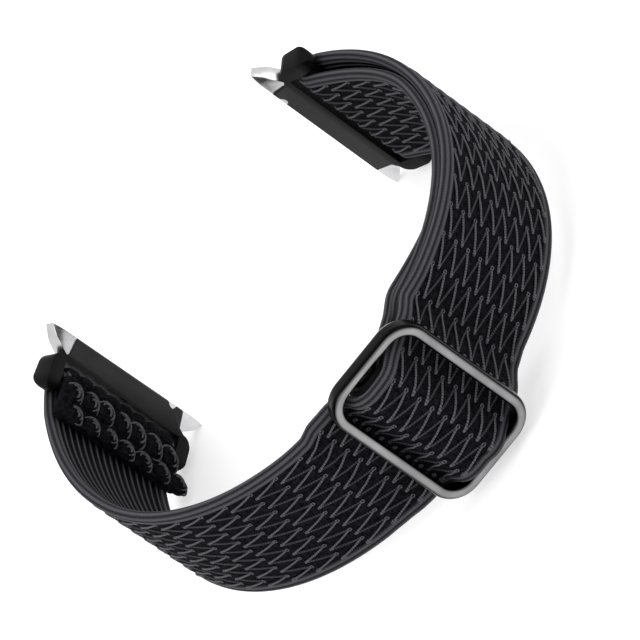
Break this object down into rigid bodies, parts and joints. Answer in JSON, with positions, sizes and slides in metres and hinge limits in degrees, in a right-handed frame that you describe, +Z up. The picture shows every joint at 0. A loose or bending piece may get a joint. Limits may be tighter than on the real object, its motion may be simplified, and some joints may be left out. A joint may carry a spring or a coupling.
{
  "type": "watch band",
  "caption": "Stretch woven nylon watch band with an adjusting slider frame and a sprung slide-in lug at each end, standing on edge in an open C.",
  "frame": {"origin": "middle of the band's outline in plan, on the surface that its edge stands on", "axes": "+Z up, across the width of the strap; +X to the right with the slider at the front, towards the upper lug; +Y from the slider towards the watch gap"},
  "size_m": [0.0602, 0.0575, 0.0246],
  "materials": {
    "strap_nylon": "woven elastic nylon, black with grey zigzag yarns",
    "thread": "sewing thread, matt",
    "gunmetal": "polished dark plating",
    "black_metal": "black satin coating",
    "polished_steel": "polished",
    "pin_steel": "polished",
    "spring_steel": "drawn wire"
  },
  "bodies": {
    "root": {"outer_run": "strap_nylon", "inner_run": "strap_nylon", "lower_run": "strap_nylon"},
    "slider": {"slider_frame": "gunmetal", "slider_cross_bar": "gunmetal", "slider_pass": "strap_nylon", "bar_loop": "strap_nylon", "bar_stitching": "thread"},
    "upper_arm": {"upper_outer_flex": "strap_nylon", "upper_inner_flex": "strap_nylon", "upper_outer_end": "strap_nylon", "upper_inner_end": "strap_nylon", "upper_fold": "strap_nylon"},
    "lower_arm": {"lower_flex": "strap_nylon", "lower_end": "strap_nylon", "lower_fold": "strap_nylon", "lower_tail": "strap_nylon", "lower_stitching": "thread"},
    "upper_lug": {"upper_lug_frame": "black_metal", "upper_lug_bar": "polished_steel", "upper_detent_spring": "spring_steel"},
    "lower_lug": {"lower_lug_frame": "black_metal", "lower_lug_bar": "polished_steel", "lower_detent_spring": "spring_steel"},
    "upper_detent": {"upper_detent_pin": "pin_steel"},
    "lower_detent": {"lower_detent_pin": "pin_steel"}
  },
  "joints": [
    {"name": "slider_travel", "type": "slide", "parent": "root", "child": "slider", "axis": [0.9925, -0.1219, 0], "range_m": [-0.004, 0.004], "deforming": ["slider_pass", "bar_loop"]},
    {"name": "upper_arm_flex", "type": "hinge", "parent": "root", "child": "upper_arm", "pos_m": [0.02782, -0.00339, 0.0123], "axis": [0, 0, 1], "range_deg": [-25, 10], "stiffness_Nm_per_rad": 0.002, "deforming": ["upper_outer_flex", "upper_inner_flex"]},
    {"name": "lower_arm_flex", "type": "hinge", "parent": "root", "child": "lower_arm", "pos_m": [-0.02889, -0.00067, 0.0123], "axis": [0, 0, 1], "range_deg": [-10, 25], "stiffness_Nm_per_rad": 0.002, "deforming": ["lower_flex"]},
    {"name": "upper_lug_swing", "type": "hinge", "parent": "upper_arm", "child": "upper_lug", "pos_m": [0.02402, 0.01944, 0.0123], "axis": [0, 0, 1], "range_deg": [-83, 42]},
    {"name": "lower_lug_swing", "type": "hinge", "parent": "lower_arm", "child": "lower_lug", "pos_m": [-0.0218, 0.02483, 0.0123], "axis": [0, 0, 1], "range_deg": [-45, 80]},
    {"name": "upper_detent_press", "type": "slide", "parent": "upper_lug", "child": "upper_detent", "axis": [0.7182, -0.6959, 0], "range_m": [0, 0.00035], "stiffness_N_per_m": 200, "deforming": ["upper_detent_spring"]},
    {"name": "lower_detent_press", "type": "slide", "parent": "lower_lug", "child": "lower_detent", "axis": [-0.8676, -0.4973, 0], "range_m": [0, 0.00035], "stiffness_N_per_m": 200, "deforming": ["lower_detent_spring"]}
  ]
}
